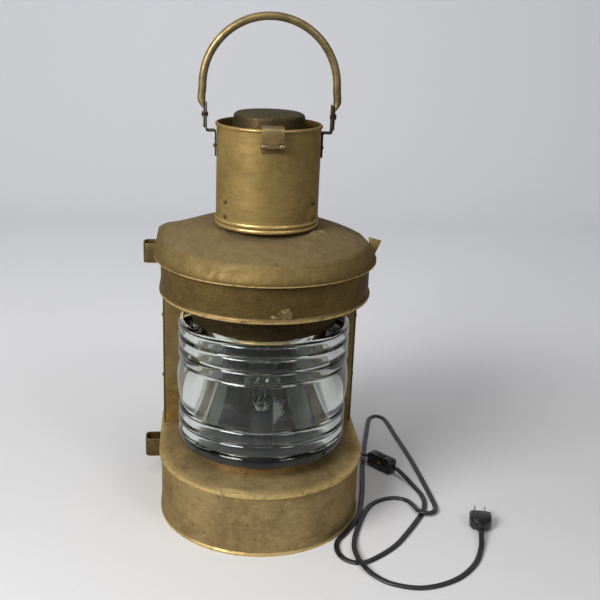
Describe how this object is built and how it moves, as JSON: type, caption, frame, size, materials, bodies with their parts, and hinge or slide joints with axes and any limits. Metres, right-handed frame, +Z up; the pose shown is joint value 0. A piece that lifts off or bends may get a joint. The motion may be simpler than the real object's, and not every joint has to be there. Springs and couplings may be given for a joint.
{
  "type": "signal lantern",
  "caption": "Ship's masthead signal lantern with a ribbed drum lens, round chimney, swinging bail and rear lamp door, wired for a mains bulb with an inline switch.",
  "frame": {"origin": "centre of the base's underside, under the axis of the lens", "axes": "+Z up through the chimney, -Y out through the middle of the lens, +X to the right as the lens is faced"},
  "size_m": [0.4392, 0.4419, 0.6068],
  "materials": {
    "bronze_paint": "aged bronze-gold paint over sheet brass, mottled and rubbed",
    "dark_bronze": "darkened bronze paint on brass fittings",
    "white_enamel": "white reflector paint in front, bronze behind",
    "black_paint": "black paint",
    "lens_glass": "thick pressed glass, faintly green",
    "bulb_glass": "thin clear glass",
    "brass": "turned brass",
    "steel": "nickel-plated",
    "phenolic": "moulded black phenolic",
    "vinyl": "satin black vinyl"
  },
  "bodies": {
    "root": {"base_shell": "bronze_paint", "base_shoulder": "bronze_paint", "lower_lens_collar": "bronze_paint", "rear_housing": "bronze_paint", "side_rivet_1": "bronze_paint", "side_rivet_2": "bronze_paint", "side_rivet_3": "bronze_paint", "side_rivet_4": "bronze_paint", "band_shell": "bronze_paint", "roof": "bronze_paint", "chimney_shell": "bronze_paint", "chimney_rivet_1_lower": "bronze_paint", "chimney_rivet_1_upper": "bronze_paint", "chimney_rivet_2_lower": "bronze_paint", "chimney_rivet_2_upper": "bronze_paint", "ear_rivet_left": "bronze_paint", "ear_rivet_right": "bronze_paint", "side_loop_upper": "bronze_paint", "side_loop_lower": "bronze_paint", "base_plate": "dark_bronze", "upper_lens_collar": "dark_bronze", "band_plate": "dark_bronze", "neck_tube": "dark_bronze", "chimney_bracket_1": "dark_bronze", "chimney_bracket_2": "dark_bronze", "chimney_bracket_3": "dark_bronze", "bail_ear_left": "dark_bronze", "bail_ear_right": "dark_bronze", "bail_pivot_left": "dark_bronze", "bail_pivot_right": "dark_bronze", "cap_hinge_leaf": "dark_bronze", "cap_hinge_pin": "dark_bronze", "door_hinge_leaf": "dark_bronze", "door_hinge_pin": "dark_bronze", "screen_plate": "white_enamel", "lamp_tray": "black_paint", "drum_lens": "lens_glass", "bulb_glass": "bulb_glass", "lamp_pipe": "brass", "pipe_nut": "brass", "switch_screw": "brass", "socket_cap": "phenolic", "socket_shell": "phenolic", "bulb_cap": "steel", "plug_blade_1": "steel", "plug_blade_2": "steel", "cord_bushing": "vinyl", "inner_lead": "vinyl", "cord_to_switch": "vinyl", "cord_to_plug": "vinyl", "switch_front": "vinyl", "switch_back": "vinyl", "plug_body": "vinyl"},
    "bail": {"bail": "bronze_paint"},
    "vent_cap": {"vent_cap": "bronze_paint", "cap_strap": "dark_bronze"},
    "rear_door": {"rear_door": "bronze_paint", "door_hinge_strap": "dark_bronze", "door_knob": "brass"},
    "switch_wheel": {"switch_wheel": "vinyl"}
  },
  "joints": [
    {"name": "bail_swing", "type": "hinge", "parent": "root", "child": "bail", "pos_m": [0, 0, 0.4952], "axis": [1, 0, 0], "range_deg": [-135, 135]},
    {"name": "vent_cap_hinge", "type": "hinge", "parent": "root", "child": "vent_cap", "pos_m": [0, -0.0657, 0.47], "axis": [1, 0, 0], "range_deg": [0, 110]},
    {"name": "rear_door_hinge", "type": "hinge", "parent": "root", "child": "rear_door", "pos_m": [-0.0648, 0.1154, 0.179], "axis": [0, 0, 1], "range_deg": [0, 120]},
    {"name": "switch_wheel_turn", "type": "hinge", "parent": "root", "child": "switch_wheel", "pos_m": [0.17614, 0.07523, 0.01325], "axis": [-0.7649, -0.6441, 0], "continuous": true}
  ]
}
